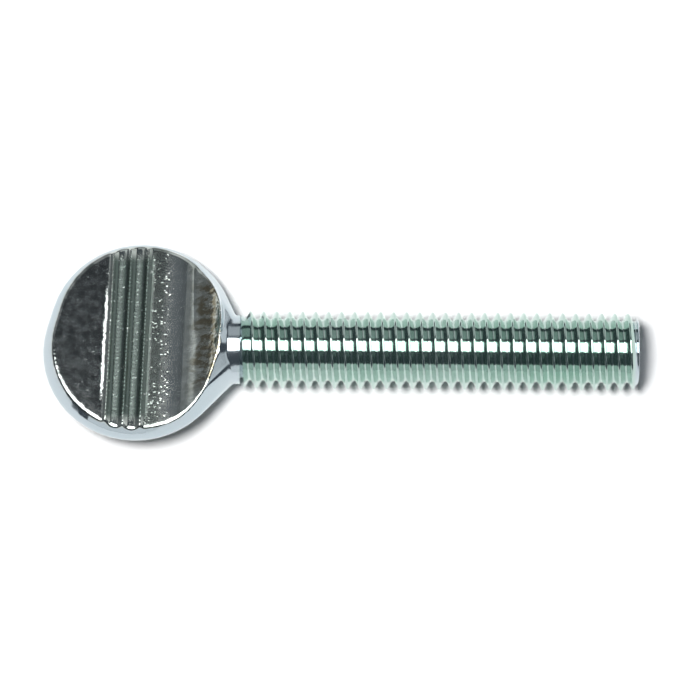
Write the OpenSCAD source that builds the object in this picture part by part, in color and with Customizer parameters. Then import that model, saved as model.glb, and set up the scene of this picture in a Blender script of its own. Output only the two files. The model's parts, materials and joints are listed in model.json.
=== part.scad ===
// Spade head thumb screw, forged and thread rolled in one piece of steel wire.
// Millimetres. The screw's axis is X, with the tip at +X, and the origin lies
// on the axis in the plane that the length is measured from, under the head.
// The screw lies on a table: the head is rolled until its edge touches it.

/* [Thread] */
// Outside diameter of the thread, a No. 10 screw at the middle of its tolerance
thread_d = 4.72; // [4:0.01:6]
// Distance from one crest to the next, 32 to the inch
thread_pitch = 0.79375; // [0.6:0.00625:1.1]
// Length from under the head to the tip, one inch
length = 25.4; // [12:0.1:60]
// Plain stretch between the head and the thread
neck_l = 1.05; // [0.9:0.05:4]
// Bevel at the tip's edge
tip_bevel = 0.42; // [0.2:0.01:0.6]
// Turns over which the groove runs in from the neck
run_in = 0.75; // [0.5:0.05:2]
// Angle of the crest nearest the neck, from the head's upper edge
thread_start = -12; // [-90:1:90]

/* [Head outline] */
// Height of the head, from the under-head plane to its free end
head_h = 10.97; // [8:0.01:14]
// Width across the head's short way
head_w = 11.34; // [9:0.01:15]
// How much longer the long way is than the short one
head_oval = 1.35; // [0:0.01:2]
// Lean of the long way from square to the axis
oval_lean = 16; // [-45:1:45]
// Sideways shift of the head from the screw's axis, from dies out of line
head_shift = 0.42; // [0:0.01:0.8]
// Bulge radius of the rim, where the metal flowed out between the dies
rim_r = 1.1; // [0.6:0.05:1.3]
// Slope of the rim's shoulder above the bulge, from the face's plane
rim_slope = 55; // [40:1:70]
// How far the top of the blank leans towards the neck
crown_lean = 0.35; // [0:0.05:0.6]

/* [Head faces] */
// Thickness at the free end of the head
end_t = 2.6; // [2:0.05:3.4]
// Thickness at the bottom of the dish, beside the ridges
dish_t = 1.88; // [1.4:0.02:2.4]
// Radius of the sweep from the dish up to the neck
sweep_r = 3.5; // [2.5:0.1:6]
// Diameter of the shoulder that the sweep runs out on
shoulder_d = 4.7; // [4:0.01:6]
// Rounding of the shoulder's edge
shoulder_r = 0.2; // [0.15:0.05:0.6]
// Length over which the head narrows into the neck
neck_taper = 0.95; // [0.6:0.05:1]

/* [Grip ridges] */
// Number of ridges across each face
ridges = 3; // [2:1:5]
// Distance from ridge to ridge
ridge_pitch = 1.06; // [0.8:0.01:1.4]
// Distance of the middle ridge from the under-head plane
ridge_x = 5.83; // [4.8:0.01:6.4]
// Height of the ridges over the dish
ridge_h = 0.2; // [0.1:0.01:0.3]
// Depth of the flutes between the ridges
flute_depth = 0.29; // [0.15:0.01:0.4]
// Width left at the top of each ridge
ridge_top = 0.06; // [0.02:0.01:0.2]
// Lean of the ridges from square to the axis
ridge_lean = 2.1; // [-5:0.1:5]

/* [Hidden] */
$fn = 96;

// A rolled thread: the blank and the neck have the pitch diameter
neck_d = thread_d - 0.6495 * thread_pitch;
groove_depth = 0.6134 * thread_pitch;
// The groove's tool starts this far outside the crests
slack = 0.06 * thread_pitch;
groove_steps = 20;
hull_fn = 48;
flank = 30;
shoulder_fn = 24;
// Height of the crown as a share of the shoulder, low enough to clear the table
crown_share = 0.35;
// The slope goes on this far above the free end's face
slope_spare = 0.3;
// Largest share of the sweep's radius that the face's section follows
sweep_share = 0.98;
// Step along the axis, and number of halvings, that the roll angle is found with
reach_step = 0.1;
halvings = 24;

// The rim is a round tube, met by a slope on both sides
disc_r = head_w / 2;
disc_x = -head_h + disc_r + head_oval / 2 * sin(oval_lean);
slope_r = disc_r - rim_r + rim_r * sin(rim_slope);
slope_z = rim_r * cos(rim_slope);
slope_top = end_t / 2 + slope_spare;
// The crown is the blank's top, a little lower than the shoulder
crown_z = crown_share * shoulder_d;
rim_inset = 1 / tan(rim_slope);
sweep_x = -shoulder_r - sqrt(sweep_r * sweep_r - pow(sweep_r - (shoulder_d - dish_t) / 2, 2));
first_ridge = -ridge_x - (ridges - 1) / 2 * ridge_pitch;
last_ridge = first_ridge + (ridges - 1) * ridge_pitch;
flute_w = ridge_pitch - ridge_top;
flute_r = (flute_w * flute_w / 4 + flute_depth * flute_depth) / (2 * flute_depth);
flank_w = 0.24;
past = 1.5;
// The taper ends on a core this share of the neck, inside it
neck_core = 0.85;

// Height of the face over the head's middle plane, without ridges
function face_z(x) =
    x < first_ridge ? dish_t / 2 + (end_t - dish_t) / 2 * (first_ridge - x) / (first_ridge + head_h)
    : x < sweep_x ? dish_t / 2
    : dish_t / 2 + sweep_r - sqrt(pow(sweep_r, 2) - pow(min(x - sweep_x, sweep_share * sweep_r), 2));

// Radius of the rim's slope at a height over the middle plane
function rim_at(z) = slope_r - (z - slope_z) * rim_inset;

// Reach of the head's lower edge towards the table, at a roll angle
function reach(a) = max([for (x = [disc_x - disc_r / 2:reach_step:disc_x + disc_r / 2])
    let (on_ridge = x > first_ridge && x < last_ridge,
         z = face_z(x) + (on_ridge ? ridge_h : 0),
         dx = x - disc_x - head_oval / 2 * sin(oval_lean),
         w = sqrt(max(0, pow(rim_at(z), 2) - dx * dx)) + head_oval / 2 * cos(oval_lean) + head_shift)
    z * cos(a) + w * sin(a)]);

// Roll angle at which that edge is as low as the thread, found by halving
function settle(low, high, n) =
    let (mid = (low + high) / 2)
    n == 0 ? mid : reach(mid) > thread_d / 2 ? settle(low, mid, n - 1) : settle(mid, high, n - 1);
roll = settle(0, 45, halvings);

// One cross section of the thread groove, at step i along the helix
function groove_ring(i) =
    let (a = 360 * i / groove_steps,
         z = thread_pitch * i / groove_steps,
         depth = (groove_depth + slack) * min(1, i / (groove_steps * run_in)) - slack / 2,
         ro = thread_d / 2 + slack,
         ri = thread_d / 2 - min(depth, groove_depth),
         wi = 7 * thread_pitch / 16 - groove_depth * tan(flank),
         wo = wi + (ro - ri) * tan(flank))
    [for (p = [[ri, -wi], [ro, -wo], [ro, wo], [ri, wi]]) [p[0] * cos(a), p[0] * sin(a), z + p[1]]];

module groove(turns) {
    n = ceil(turns * groove_steps);
    points = [for (i = [0:n]) each groove_ring(i)];
    sides = [for (i = [0:n - 1], k = [0:3])
        let (a = 4 * i + k, b = 4 * i + (k + 1) % 4) each [[a, b, b + 4], [a, b + 4, a + 4]]];
    ends = [[3, 2, 1], [3, 1, 0], [4 * n, 4 * n + 1, 4 * n + 2], [4 * n, 4 * n + 2, 4 * n + 3]];
    polyhedron(points = points, faces = concat(sides, ends), convexity = 10);
}

// Neck and threaded shank, turned about the axis, with the groove cut in
module shank() {
    rise = (thread_d - neck_d) / 2;
    difference() {
        rotate([0, 90, 0])
            rotate_extrude()
                polygon([[0, 0], [neck_d / 2, 0], [neck_d / 2, neck_l],
                    [thread_d / 2, neck_l + rise], [thread_d / 2, length - tip_bevel],
                    [thread_d / 2 - tip_bevel, length], [0, length]]);
        translate([neck_l, 0, 0])
            rotate([0, 90, 0])
                rotate(thread_start)
                    groove((length - neck_l) / thread_pitch + 1);
    }
}

// Disc with the rim's section, before the dies press the faces into it
module rim_disc() {
    rotate_extrude($fn = hull_fn) {
        intersection() {
            translate([disc_r - rim_r, 0])
                circle(rim_r, $fn = hull_fn);
            translate([disc_r - rim_r, -slope_z])
                square([rim_r, 2 * slope_z]);
        }
        polygon([[0, -slope_top], [rim_at(slope_top), -slope_top], [slope_r, -slope_z],
            [slope_r, slope_z], [rim_at(slope_top), slope_top], [0, slope_top]]);
    }
}

// Upset blank of the head: the oval disc drawn together with the shoulder and the neck
module blank() {
    hull() {
        for (side = [-1, 1])
            translate([disc_x, head_shift, 0])
                rotate(-oval_lean)
                    translate([0, side * head_oval / 2, 0]) {
                        rim_disc();
                        translate([crown_lean, 0, 0])
                            cylinder(r = rim_at(crown_z), h = 2 * crown_z, center = true, $fn = hull_fn);
                    }
        translate([-shoulder_r, 0, 0])
            rotate([0, 90, 0])
                rotate_extrude($fn = hull_fn)
                    translate([shoulder_d / 2 - shoulder_r, 0])
                        circle(shoulder_r, $fn = shoulder_fn);
        rotate([0, 90, 0])
            cylinder(d = neck_core * neck_d, h = neck_taper, $fn = hull_fn);
    }
}

// Upper half of the faces' section, along the axis and up from the middle plane
module face_section() {
    difference() {
        union() {
            polygon([[-head_h - past, 0], [-head_h - past, face_z(-head_h - past)],
                [first_ridge - flank_w, face_z(first_ridge - flank_w)],
                [first_ridge, dish_t / 2 + ridge_h], [last_ridge, dish_t / 2 + ridge_h],
                [last_ridge + flank_w, dish_t / 2], [sweep_x, dish_t / 2], [sweep_x, 0]]);
            translate([sweep_x, 0])
                square([length - sweep_x, dish_t / 2 + sweep_r]);
        }
        translate([sweep_x, dish_t / 2 + sweep_r])
            circle(sweep_r);
        for (i = [0:ridges - 2])
            translate([first_ridge + (i + 0.5) * ridge_pitch, dish_t / 2 + ridge_h - flute_depth + flute_r])
                circle(flute_r);
    }
}

// What the pair of dies leaves between them, endless across the head
module between_dies() {
    translate([-ridge_x, head_shift, 0])
        rotate(-ridge_lean)
            translate([ridge_x, 0, 0])
                for (side = [0, 1])
                    mirror([0, 0, side])
                        rotate([90, 0, 0])
                            linear_extrude(2 * head_w, center = true)
                                face_section();
}

module thumb_screw() {
    color([0.72, 0.78, 0.76]) {
        rotate([-roll, 0, 0])
            intersection() {
                blank();
                between_dies();
            }
        shank();
    }
}

thumb_screw();
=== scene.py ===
# %% [markdown]
# Thumb screw on a white table. A cold forged spade head and a rolled thread are one piece of
# zinc plated steel wire. The frame from the model gives its true size and place, and
# this lesson remakes its surface finely enough to look real: soft forged edges on the head, a
# round bottomed helix on the shank, and the blotchy, faintly green plate.

# %% Load the frame
import json
import math

import bpy
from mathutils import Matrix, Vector

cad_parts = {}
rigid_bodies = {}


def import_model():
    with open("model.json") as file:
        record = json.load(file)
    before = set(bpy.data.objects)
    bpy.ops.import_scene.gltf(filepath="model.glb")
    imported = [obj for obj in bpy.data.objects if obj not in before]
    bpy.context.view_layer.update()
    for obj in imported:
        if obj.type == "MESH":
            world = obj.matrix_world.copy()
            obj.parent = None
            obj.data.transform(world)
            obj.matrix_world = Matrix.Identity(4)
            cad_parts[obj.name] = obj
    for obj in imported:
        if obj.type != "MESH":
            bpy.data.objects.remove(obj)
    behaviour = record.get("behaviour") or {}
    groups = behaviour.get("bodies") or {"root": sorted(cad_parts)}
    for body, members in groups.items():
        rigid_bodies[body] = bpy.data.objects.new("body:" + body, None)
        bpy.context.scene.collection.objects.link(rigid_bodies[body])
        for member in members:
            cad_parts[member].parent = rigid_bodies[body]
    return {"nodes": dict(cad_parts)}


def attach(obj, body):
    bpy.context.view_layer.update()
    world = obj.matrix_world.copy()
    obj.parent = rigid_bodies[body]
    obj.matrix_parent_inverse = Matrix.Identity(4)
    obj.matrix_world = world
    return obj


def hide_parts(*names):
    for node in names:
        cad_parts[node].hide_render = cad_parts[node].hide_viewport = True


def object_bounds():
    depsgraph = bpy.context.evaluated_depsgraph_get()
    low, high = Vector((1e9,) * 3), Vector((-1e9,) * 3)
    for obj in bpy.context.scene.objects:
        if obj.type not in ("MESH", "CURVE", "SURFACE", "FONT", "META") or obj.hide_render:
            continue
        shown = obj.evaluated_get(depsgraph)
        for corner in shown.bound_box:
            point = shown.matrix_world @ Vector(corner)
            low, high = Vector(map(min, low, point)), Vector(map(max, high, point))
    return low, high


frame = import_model()
cad_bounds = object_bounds()
NODE = "thumb_screw"

# %% [markdown]
# The screw is only 36 mm long, and Blender's tools have limits near a tenth of a millimetre
# when a unit is a metre. So the shapes are made large, at one unit to the millimetre, and are
# scaled down to metres as the last step of the modelling.

# %% Sizes in millimetres
MM = 0.001
PITCH = 25.4 / 32
THREAD_R = 4.72 / 2
NECK_R = THREAD_R - 0.6495 * PITCH / 2
ROOT_R = THREAD_R - 0.6134 * PITCH
NECK_END = 1.05
TIP_X = cad_bounds[1][0] / MM
TIP_BEVEL = 0.42
CUT_X = 0.86
TABLE_Z = -THREAD_R
CREST_X = 1.673
ROLL_DEG = 11.6
print("neck radius", round(NECK_R, 3), "root radius", round(ROOT_R, 3), "tip at", round(TIP_X, 2))


# %% [markdown]
# Three small helpers keep the steps short. The first empties the selection, because an
# operator acts on everything that is selected. The second runs one operator on one object in
# edit mode. The third adds a modifier and applies it at once.

# %% Helpers for operators
def only(piece):
    if bpy.context.mode != "OBJECT":
        bpy.ops.object.mode_set(mode="OBJECT")
    bpy.ops.object.select_all(action="DESELECT")
    piece.select_set(True)
    bpy.context.view_layer.objects.active = piece
    return piece


def edit(piece, *steps):
    only(piece)
    bpy.ops.object.mode_set(mode="EDIT")
    bpy.ops.mesh.select_all(action="SELECT")
    for step in steps:
        step()
    bpy.ops.object.mode_set(mode="OBJECT")
    return piece


def finish_with(piece, kind, **settings):
    only(piece)
    modifier = piece.modifiers.new(kind.title(), kind)
    for name, value in settings.items():
        setattr(modifier, name, value)
    bpy.ops.object.modifier_apply(modifier=modifier.name)
    return piece


def boolean(piece, other, operation):
    finish_with(piece, "BOOLEAN", operation=operation, object=other, solver="EXACT")
    bpy.data.objects.remove(other, do_unlink=True)
    return piece


# %% [markdown]
# The head is a forging, pressed flat between two dies. Its form is already right in the
# frame, so a copy of the node is the start: it is scaled up, its loose triangles are merged,
# and the shank is cut off square at the neck. A voxel remesh then gives it an even skin, and
# a few rounds of smoothing take the sharp corners off, as the dies and the plating do.

# %% Cut the head from the frame's copy
only(frame["nodes"][NODE])
bpy.ops.object.duplicate()
head = bpy.context.active_object
head.name = "forged_head"
only(head)
bpy.ops.transform.resize(value=(1 / MM, 1 / MM, 1 / MM))
bpy.ops.object.parent_clear(type="CLEAR_KEEP_TRANSFORM")
bpy.ops.object.transform_apply(location=True, rotation=True, scale=True)
edit(
    head,
    lambda: bpy.ops.mesh.remove_doubles(threshold=0.0005),
    lambda: bpy.ops.mesh.bisect(
        plane_co=(CUT_X, 0, 0), plane_no=(1, 0, 0), clear_outer=True, use_fill=True
    ),
)
print("head copy has", len(head.data.polygons), "faces")

# %% [markdown]
# On the upper side the metal flowed up against the neck, so the face sweeps out to a full,
# steep edge there. That lip is modelled as a rounded wall between two leaning cones, cut to
# the curve of the die, and the voxel remesh then melts it into the head.

# %% A chain of points
def draw_line(name, points):
    bpy.ops.object.select_all(action="DESELECT")
    bpy.ops.mesh.primitive_plane_add(size=1, location=points[0])
    line = bpy.context.active_object
    line.name = name
    bpy.ops.object.transform_apply(location=True)
    bpy.ops.object.mode_set(mode="EDIT")
    bpy.ops.mesh.select_mode(type="VERT")
    bpy.ops.mesh.select_all(action="SELECT")
    bpy.ops.mesh.merge(type="CENTER")
    for a, b in zip(points, points[1:]):
        step = tuple(q - p for p, q in zip(a, b))
        bpy.ops.mesh.extrude_region_move(TRANSFORM_OT_translate={"value": step})
    bpy.ops.object.mode_set(mode="OBJECT")
    return line


# %% Lip of the face at the neck
SWEEP_R = 3.5
SWEEP_X = -3.007
DISH = 0.94
LIP_LOW, LIP_HIGH = 1.2, 2.62
LIP_X = ((-4.59, 1.07), (-4.95, -0.23))
LIP_FOOT_R, LIP_TOP_R = 4.86, 4.50
LIP_START, LIP_END = -1.9, 0.3
LIP_SIDE = 5.5


def under_the_die():
    points = [(LIP_START, DISH - 0.3)]
    for i in range(13):
        along = LIP_START + 2.2 * i / 12
        points.append((along, DISH + SWEEP_R - math.sqrt(SWEEP_R ** 2 - (along - SWEEP_X) ** 2)))
    points.append((LIP_END, DISH - 0.3))
    return [(along, LIP_SIDE, up) for along, up in points]


def upright_cones():
    bpy.ops.object.select_all(action="DESELECT")
    cones = []
    for along, across in LIP_X:
        bpy.ops.mesh.primitive_cone_add(
            vertices=96, radius1=LIP_FOOT_R, radius2=LIP_TOP_R, depth=LIP_HIGH - LIP_LOW,
            location=(along, across, (LIP_LOW + LIP_HIGH) / 2),
        )
        bpy.ops.object.transform_apply(location=True)
        cones.append(bpy.context.active_object)
    for cone in cones:
        cone.select_set(True)
    bpy.ops.object.join()
    body = bpy.context.active_object
    return edit(body, lambda: bpy.ops.mesh.convex_hull())


lip = draw_line("face_lip", under_the_die())
through = {"value": (0, -2 * LIP_SIDE, 0)}
edit(
    lip,
    lambda: bpy.ops.mesh.edge_face_add(),
    lambda: bpy.ops.mesh.extrude_region_move(TRANSFORM_OT_translate=through),
    lambda: bpy.ops.mesh.select_all(action="SELECT"),
    lambda: bpy.ops.mesh.normals_make_consistent(inside=False),
)
boolean(lip, upright_cones(), "INTERSECT")
lip.rotation_euler = (-math.radians(ROLL_DEG), 0, 0)
only(lip)
bpy.ops.object.transform_apply(rotation=True)
print("lip box", [tuple(round(c, 2) for c in corner) for corner in lip.bound_box][::6])
boolean(head, lip, "UNION")

# %% [markdown]
# The voxel remesh turns head and lip into one closed skin. It is smoothed all over, and then
# once more along the outer edge of the face, where the dies leave the metal roundest.

# %% Give the head an even skin
VOXEL = 0.05
finish_with(head, "REMESH", mode="VOXEL", voxel_size=VOXEL, adaptivity=0.0)
finish_with(head, "SMOOTH", factor=0.5, iterations=26)
outer = head.vertex_groups.new(name="outer_edge")
outer.add([v.index for v in head.data.vertices
           if math.hypot(v.co.x + 5.1, (v.co.y - 0.4) * 0.9) > 4.3 and v.co.x < -0.9], 1.0, "ADD")
finish_with(head, "SMOOTH", factor=0.5, iterations=12, vertex_group="outer_edge")
finish_with(head, "DECIMATE", ratio=0.36)
print("head skin has", len(head.data.polygons), "faces")

# %% [markdown]
# The thread is a screw surface. One pitch of its outline is drawn as a line of points, crest
# to crest: a round crest and a round root, as rolling leaves them, joined by straight flanks
# at 30 degrees. The Screw modifier winds the line along the axis and merges each turn with
# the next, so the whole thread is one smooth skin.

# %% Draw one pitch of the thread
STEPS = 64
SHARP = PITCH * math.cos(math.radians(30))
CREST_ROUND = SHARP / 8
ROOT_ROUND = SHARP / 6
TURNS = math.ceil((TIP_X - NECK_END) / PITCH) + 3


def arc_points(middle, tip, radius, sign, steps):
    points = []
    for i in range(steps + 1):
        a = math.radians(-60 + 120 * i / steps)
        points.append((middle + radius * math.sin(a), tip - sign * radius * (1 - math.cos(a))))
    return points


def thread_outline():
    crest = arc_points(0, THREAD_R, CREST_ROUND, 1, 6)
    root = arc_points(PITCH / 2, ROOT_R, ROOT_ROUND, -1, 4)
    return crest[3:] + root + [(along + PITCH, out) for along, out in crest[:4]]


# The crest line passes the side that faces +Y at CREST_X, and the helix is right hand
start_x = CREST_X - PITCH * 3
thread = draw_line("thread", [(start_x + along, out, 0) for along, out in thread_outline()])
finish_with(
    thread, "SCREW", axis="X", angle=2 * math.pi, screw_offset=PITCH, iterations=TURNS,
    steps=STEPS, render_steps=STEPS, use_merge_vertices=True, merge_threshold=0.001,
    use_smooth_shade=True,
)
edit(thread, lambda: bpy.ops.mesh.remove_doubles(threshold=0.002))
print("thread skin has", len(thread.data.polygons), "faces")


# %% [markdown]
# The wound skin is open at both ends. Each open end is closed to a point on the axis, well
# past the part that is kept, and the thread is then cut to the shank's outline: a plain neck
# at the head, a short rise to the crests, and a bevel at the tip.

# %% Close the thread's ends
def close_end(piece, centre):
    only(piece)
    bpy.ops.object.mode_set(mode="EDIT")
    bpy.ops.mesh.select_mode(type="EDGE")
    bpy.ops.mesh.select_all(action="DESELECT")
    bpy.ops.mesh.select_non_manifold(extend=False, use_wire=False, use_multi_face=False)
    bpy.ops.object.mode_set(mode="OBJECT")
    middle = (start_x + TIP_X) / 2
    for edge in piece.data.edges:
        here = sum(piece.data.vertices[i].co.x for i in edge.vertices) / 2
        if edge.select and (here < middle) != (centre < middle):
            edge.select = False
    bpy.ops.object.mode_set(mode="EDIT")
    bpy.ops.mesh.extrude_region_move()
    bpy.ops.mesh.merge(type="CENTER")
    bpy.ops.object.mode_set(mode="OBJECT")
    spike = [v for v in piece.data.vertices if v.select]
    for vertex in spike:
        vertex.co = (centre, 0, 0)


close_end(thread, start_x - PITCH)
close_end(thread, start_x + (TURNS + 1) * PITCH)
edit(thread, lambda: bpy.ops.mesh.normals_make_consistent(inside=False))


# %% Cut the thread to the shank's outline
def turned(name, outline, steps=96):
    body = draw_line(name, [(along, out, 0) for along, out in outline])
    finish_with(
        body, "SCREW", axis="X", angle=2 * math.pi, screw_offset=0, iterations=1,
        steps=steps, render_steps=steps, use_merge_vertices=True, merge_threshold=0.0005,
    )
    return edit(
        body,
        lambda: bpy.ops.mesh.remove_doubles(threshold=0.0005),
        lambda: bpy.ops.mesh.normals_make_consistent(inside=False),
    )


LEAD = 0.36
blank_start = NECK_END - 0.15
envelope = turned("shank_envelope", [
    (blank_start, 0), (blank_start, NECK_R - 0.02), (NECK_END, NECK_R),
    (NECK_END + LEAD, THREAD_R + 0.05), (TIP_X - TIP_BEVEL - 0.04, THREAD_R + 0.05),
    (TIP_X - TIP_BEVEL * 0.95, THREAD_R + 0.001), (TIP_X - 0.05, THREAD_R - TIP_BEVEL),
    (TIP_X, THREAD_R - TIP_BEVEL - 0.09), (TIP_X, 0),
])
boolean(thread, envelope, "INTERSECT")
core = turned("neck_core", [
    (0.5, 0), (0.5, NECK_R - 0.04), (0.8, NECK_R + 0.006), (NECK_END + 0.12, NECK_R),
    (NECK_END + 0.55, ROOT_R - 0.06), (NECK_END + 0.9, ROOT_R - 0.2), (NECK_END + 0.9, 0),
])
boolean(thread, core, "UNION")
edit(
    thread,
    lambda: bpy.ops.mesh.remove_doubles(threshold=0.004),
    lambda: bpy.ops.mesh.dissolve_degenerate(threshold=0.001),
)
print("shank has", len(thread.data.polygons), "faces")

# %% [markdown]
# Head and shank are one piece of metal, so the two skins are joined into one mesh. Then the
# shading is made smooth apart from true corners, and the mesh is scaled to metres.

# %% Join head and shank
only(thread)
head.select_set(True)
bpy.context.view_layer.objects.active = head
bpy.ops.object.join()
screw = head
screw.name = "plated_thumb_screw"
only(screw)
bpy.ops.transform.resize(value=(MM, MM, MM), center_override=(0, 0, 0))
bpy.ops.object.transform_apply(location=True, rotation=True, scale=True)
bpy.ops.object.shade_smooth_by_angle(angle=math.radians(40))
print("screw has", len(screw.data.polygons), "faces")
print("screw box", [tuple(round(c / MM, 3) for c in corner) for corner in screw.bound_box][::6])


# %% [markdown]
# Shader maths reads like arithmetic here. A small class holds a socket, and each operator on
# it adds the Math node that does the work.

# %% A socket that does arithmetic
class Value:
    def __init__(self, tree, socket):
        self.tree = tree
        self.socket = socket

    def _math(self, operation, other, flip=False):
        pair = (other, self) if flip else (self, other)
        return node(self.tree, "ShaderNodeMath", {"operation": operation}, dict(enumerate(pair)))

    def __add__(self, other):
        return self._math("ADD", other)

    def __radd__(self, other):
        return self._math("ADD", other, flip=True)

    def __sub__(self, other):
        return self._math("SUBTRACT", other)

    def __rsub__(self, other):
        return self._math("SUBTRACT", other, flip=True)

    def __mul__(self, other):
        return self._math("MULTIPLY", other)

    def __rmul__(self, other):
        return self._math("MULTIPLY", other, flip=True)

    def __abs__(self):
        return node(self.tree, "ShaderNodeMath", {"operation": "ABSOLUTE"}, {0: self})


def node(tree, kind, settings=None, inputs=None, output=0):
    made = tree.nodes.new(kind)
    for name, value in (settings or {}).items():
        setattr(made, name, value)
    for key, value in (inputs or {}).items():
        if isinstance(value, Value):
            tree.links.new(value.socket, made.inputs[key])
        else:
            made.inputs[key].default_value = value
    return Value(tree, made.outputs[output])


# %% [markdown]
# Bright zinc plate is a thin skin over steel. It is nearly white, with a green or blue tint
# that drifts over a few millimetres, and it scatters light a little. The dies leave their own
# marks under it: pits that glint beside the ridges, a rough step where the first ridge
# begins, and draw lines on the sweep, where the metal flowed towards the neck. The base
# colour also holds painted light: painted shade on the facet, flutes and pits, a painted
# highlight on the step and on a band of the sweep, painted glints as light flecks, and
# painted shade mixed into the brown residue on the sweep.

# %% Places on the screw
LEAN = math.tan(math.radians(2.1))
ROLL = math.radians(ROLL_DEG)
# Zones of the face, as distances along the axis in millimetres
STEP = (-7.13, -7.01)
FLUTES = (-6.95, -4.4)
PITS = (-4.7, -3.3)


def smooth(value, low, high):
    return node(value.tree, "ShaderNodeMapRange", {"interpolation_type": "SMOOTHSTEP"},
                {"Value": value, "From Min": low, "From Max": high})


def band(value, low, high, soft):
    return smooth(value, low - soft, low + soft) * (1 - smooth(value, high - soft, high + soft))


def noise(place, scale, detail=2.0, rough=0.5):
    return node(place.tree, "ShaderNodeTexNoise", {},
                {"Vector": place, "Scale": scale, "Detail": detail, "Roughness": rough})


def stretched(place, x, y, z):
    return node(place.tree, "ShaderNodeMapping", {}, {"Vector": place, "Scale": (x, y, z)})


def mixed(share, low, high):
    return node(share.tree, "ShaderNodeMix", {"data_type": "RGBA"}, {0: share, 6: low, 7: high},
                output=2)


# %% Zinc plate
def zinc_plate():
    material = bpy.data.materials.new("zinc_plate")
    material.use_nodes = True
    tree = material.node_tree
    shader = tree.nodes["Principled BSDF"]
    shader.inputs["Metallic"].default_value = 1.0
    place = node(tree, "ShaderNodeTexCoord", output="Object")
    parts = node(tree, "ShaderNodeSeparateXYZ", {}, {0: place}).socket.node
    x, y, z = (Value(tree, parts.outputs[i]) * (1 / MM) for i in range(3))
    height = abs(y * math.sin(ROLL) + z * math.cos(ROLL))
    across = y * math.cos(ROLL) - z * math.sin(ROLL)
    along = x - across * LEAN
    facing = node(tree, "ShaderNodeSeparateXYZ", {},
                  {0: node(tree, "ShaderNodeTexCoord", output="Normal")}).socket.node
    upward = abs(Value(tree, facing.outputs[1]) * math.sin(ROLL)
                 + Value(tree, facing.outputs[2]) * math.cos(ROLL))
    endward = Value(tree, facing.outputs[0])
    on_top = smooth(height, 0.72, 0.9) * (1 - smooth(x, -0.3, 0.2))
    shoulder = smooth(endward, 0.15, 0.35) * smooth(x, -2.5, -2.0)
    on_face = on_top * smooth(upward, 0.55, 0.72) * (1 - shoulder)

    facet = (1 - smooth(along, -7.3, -7.0)) * on_face
    fluted = band(along, *FLUTES, 0.12) * band(across, -4.85, 5.7, 0.4) * on_top
    pitted = band(along, *PITS, 0.4) * on_face
    sweep = smooth(along, -2.3, -1.3) * on_face
    edge_of_step = along + 0.3 * noise(place, 2600.0, 3.0, 0.7)
    step = band(edge_of_step, *STEP, 0.05) * on_face * band(across, -3.2, 3.4, 0.8)

    drift = noise(place, 240.0)
    fine = noise(place, 2600.0, 4.0, 0.6)
    mottle = noise(place, 1900.0, 4.0, 0.65)
    shank_tint = mixed(drift, (0.40, 0.58, 0.50, 1), (0.56, 0.65, 0.62, 1))
    head_tint = mixed(drift, (0.46, 0.56, 0.60, 1), (0.56, 0.61, 0.64, 1))
    face_tint = mixed(smooth(mottle, 0.3, 0.7), (0.48, 0.52, 0.48, 1), (0.65, 0.70, 0.66, 1))
    # Painted shade: the left facet's base colour is darkened, with random mottling, to stand in for
    # the dark room it mirrors
    facet_painted_shade = mixed(smooth(mottle, 0.35, 0.65), (0.16, 0.18, 0.175, 1), (0.38, 0.40, 0.39, 1))
    tint = mixed(smooth(x, 0.8, 1.6) * (1 - smooth(x, 25.0, 25.3)), head_tint, shank_tint)
    tint = mixed(on_face, tint, face_tint)
    tint = mixed(facet, tint, facet_painted_shade)
    # Painted shade: the flutes are painted dark green-grey, standing in for the dark their flanks
    # mirror
    tint = mixed(fluted, tint, (0.12, 0.155, 0.14, 1))
    # Painted shade: the pitted zone of the face is painted darker as well
    tint = mixed(pitted * 0.7, tint, (0.15, 0.18, 0.165, 1))
    # Painted highlight: the rough step at the first ridge is painted near white; its roughness and
    # bump are real
    tint = mixed(step, tint, (0.95, 1.0, 0.97, 1))
    # Painted highlight: a band across the sweep is painted pale, standing in for the brighter light
    # it mirrors
    tint = mixed(band(along, -3.5, -2.5, 0.5) * on_face, tint, (0.80, 0.84, 0.80, 1))

    streaks = noise(stretched(place, 0.04, 1.0, 1.0), 3000.0, 3.0, 0.6)
    wide_streaks = noise(stretched(place, 0.04, 1.0, 1.0), 1300.0, 2.0, 0.5)
    flow_edge = smooth(along + 3.8 * wide_streaks, -0.05, 0.35)
    # Dark brown streaks on the sweep: partly residue of the plate, partly painted shade standing in
    # for the dark the sweep mirrors
    residue_and_painted_shade = (flow_edge * (0.35 + 0.65 * smooth(streaks, 0.42, 0.56)) * sweep
             * band(across, -2.9, 4.0, 0.7))
    tint = mixed(residue_and_painted_shade * 0.85, tint, (0.21, 0.175, 0.10, 1))
    swirl = node(tree, "ShaderNodeTexNoise", {}, {"Vector": place, "Scale": 4000.0}, output="Color")
    strewn = node(tree, "ShaderNodeVectorMath", {"operation": "MULTIPLY_ADD"},
                  {0: swirl, 1: (0.0004, 0.0004, 0.0004), 2: place})


    def dots(scale, size, share):
        nearest = node(tree, "ShaderNodeTexVoronoi", {}, {"Vector": strewn, "Scale": scale})
        chosen = node(tree, "ShaderNodeSeparateColor", {},
                      {0: Value(tree, nearest.socket.node.outputs["Color"])})
        return (1 - smooth(nearest, 0.0, size)) * smooth(chosen, 1 - share, 1.15 - share)

    # Painted glints: light dots in the base colour on the flutes, facet and pits, beside the real
    # pits in the bump
    painted_glints = dots(3600.0, 0.36, 0.28)
    painted_glint_share = painted_glints * (0.6 * fluted + 0.35 * facet + 0.5 * pitted)
    tint = mixed(painted_glint_share, tint, (0.80, 0.86, 0.83, 1))
    tree.links.new(tint.socket, shader.inputs["Base Color"])

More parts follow.
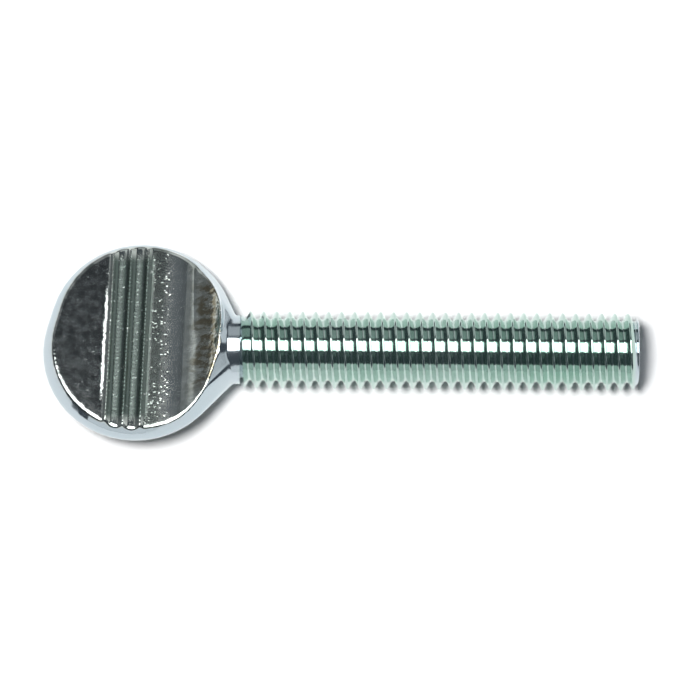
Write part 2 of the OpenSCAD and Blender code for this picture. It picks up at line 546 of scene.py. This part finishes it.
    grain = noise(place, 5200.0, 3.0)
    crowd = smooth(noise(place, 900.0, 2.0), 0.38, 0.62)
    pits = dots(5200.0, 0.45, 0.4) + 0.7 * dots(3400.0, 0.32, 0.25)
    specks = pits * (pitted * (0.35 + 0.4 * crowd) + 0.08 * facet + 0.6 * fluted + 0.06 * on_face)
    step_rough = step * noise(place, 7000.0, 3.0, 0.7)

    # Heights of the marks in hundredths of a millimetre
    flow = sweep * (wide_streaks - 0.5) * (along + 2.6) * (along + 2.6)
    marks = (0.9 * specks + 0.25 * mottle * on_face + 2.6 * step_rough + 2.2 * flow
             + 0.6 * sweep * streaks + 0.03 * grain)
    bump = node(tree, "ShaderNodeBump", {}, {"Strength": 1.0, "Distance": 0.00001, "Height": marks},
                output="Normal")
    tree.links.new(bump.socket, shader.inputs["Normal"])
    rough = (0.07 + 0.05 * fine + 0.07 * band(x, 0.1, 1.0, 0.3) + 0.15 * step + 0.16 * fluted
             + 0.04 * pitted + 0.01 * facet + 0.08 * sweep)
    tree.links.new(rough.socket, shader.inputs["Roughness"])
    return material


screw.data.materials.clear()
screw.data.materials.append(zinc_plate())
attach(screw, "root")
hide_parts(NODE)


# %% [markdown]
# The set is a plain white table under soft light. The wide panel almost overhead draws the
# white line along the thread. The dim panels low at both sides draw its paler bands, and the
# dark of the room between them gives the metal its contrast.

# %% Table
bpy.ops.object.select_all(action="DESELECT")
bpy.ops.mesh.primitive_plane_add(size=3, location=(0, 0, TABLE_Z * MM))
table = bpy.context.active_object
table.name = "white_table"
bpy.ops.object.transform_apply(location=True)
white = bpy.data.materials.new("white_table_top")
white.use_nodes = True
white.node_tree.nodes["Principled BSDF"].inputs["Base Color"].default_value = (0.9, 0.9, 0.9, 1)
white.node_tree.nodes["Principled BSDF"].inputs["Roughness"].default_value = 0.8
table.data.materials.append(white)


# %% Light panels
KEY_POWER = 4.25


def panel(name, place, aim, width, height, power):
    bpy.ops.object.light_add(type="AREA", location=place)
    lamp = bpy.context.active_object
    lamp.name = name
    lamp.data.shape = "RECTANGLE"
    lamp.data.size = width
    lamp.data.size_y = height
    lamp.data.energy = power
    way = Vector(aim) - Vector(place)
    lamp.rotation_euler = way.to_track_quat("-Z", "Y").to_euler()
    return lamp


def arc(angle, distance, x=0.0):
    a = math.radians(angle)
    return (x, distance * math.sin(a), distance * math.cos(a))


def strip(name, low, high, distance, width, radiance, x=0.0):
    middle = (low + high) / 2
    height = 2 * distance * math.tan(math.radians((high - low) / 2))
    power = radiance * math.pi * width * height
    return panel(name, arc(middle, distance, x), (x, 0, 0), width, height, power)


panels = [
    strip("soft_box", -10.5, 27.5, 0.6, 0.9, 5.5, x=-0.1),
    strip("near_wall", -100, -63, 0.8, 1.6, 0.80),
    strip("far_wall", 39, 75, 0.9, 1.2, 0.45, x=-0.3),
]


def side_strip(name, low, high, distance, depth, radiance, side=-1, y=0.1):
    middle = math.radians((low + high) / 2)
    width = 2 * distance * math.tan(math.radians((high - low) / 2))
    place = (side * distance * math.sin(middle), y, distance * math.cos(middle))
    return panel(name, place, (0, y, 0), depth, width, radiance * math.pi * width * depth)


panels.append(side_strip("left_wall", 25, 86, 0.7, 1.0, 0.10))
panels.append(side_strip("right_wall", 48, 86, 0.7, 0.7, 0.75, side=1, y=0.5))
panels.append(panel("corner_card", (0.538, -0.236, 0.381), (0.0, 0.0, 0.0), 0.17, 0.22, 0.09))
for lamp in panels:
    lamp.visible_diffuse = False

# The key light whitens the table and casts the soft shadow, and the metal doesn't mirror it
key = panel("key_light", (-0.10, -0.033, 0.6), (0, 0, 0), 0.13, 0.13, KEY_POWER)
key.visible_glossy = False
world = bpy.data.worlds.new("dim_room")
bpy.context.scene.world = world
world.use_nodes = True
world.node_tree.nodes["Background"].inputs["Color"].default_value = (0.075, 0.086, 0.10, 1)

# %% [markdown]
# The camera looks almost straight down from 0.6 m away, tilted by 9 degrees, so the picture
# has the scale, the place and the slight slope that the screw has in the photo.

# %% Camera
PX_PER_MM = 16.38
AXIS_PX = (222.7, 349.5)
TILT = 9.0
SLOPE = 0.38
LENS_DISTANCE = 0.6
FRAME_PX = 700
span = FRAME_PX / PX_PER_MM * MM
middle_x = (FRAME_PX / 2 - AXIS_PX[0]) / PX_PER_MM * MM
middle_y = 0.4 / PX_PER_MM * MM
bpy.ops.object.camera_add()
camera = bpy.context.active_object
camera.name = "camera"
camera.data.sensor_width = 36
camera.data.lens = 36 * LENS_DISTANCE / span
camera.data.clip_start = 0.01
camera.rotation_euler = (math.radians(TILT), 0, math.radians(SLOPE))
camera.location = camera.rotation_euler.to_matrix() @ Vector((0, 0, LENS_DISTANCE))
camera.location += Vector((middle_x, middle_y, 0))
bpy.context.scene.camera = camera
bpy.context.scene.view_settings.view_transform = "Standard"
print("camera sees", round(span / MM, 2), "mm across")
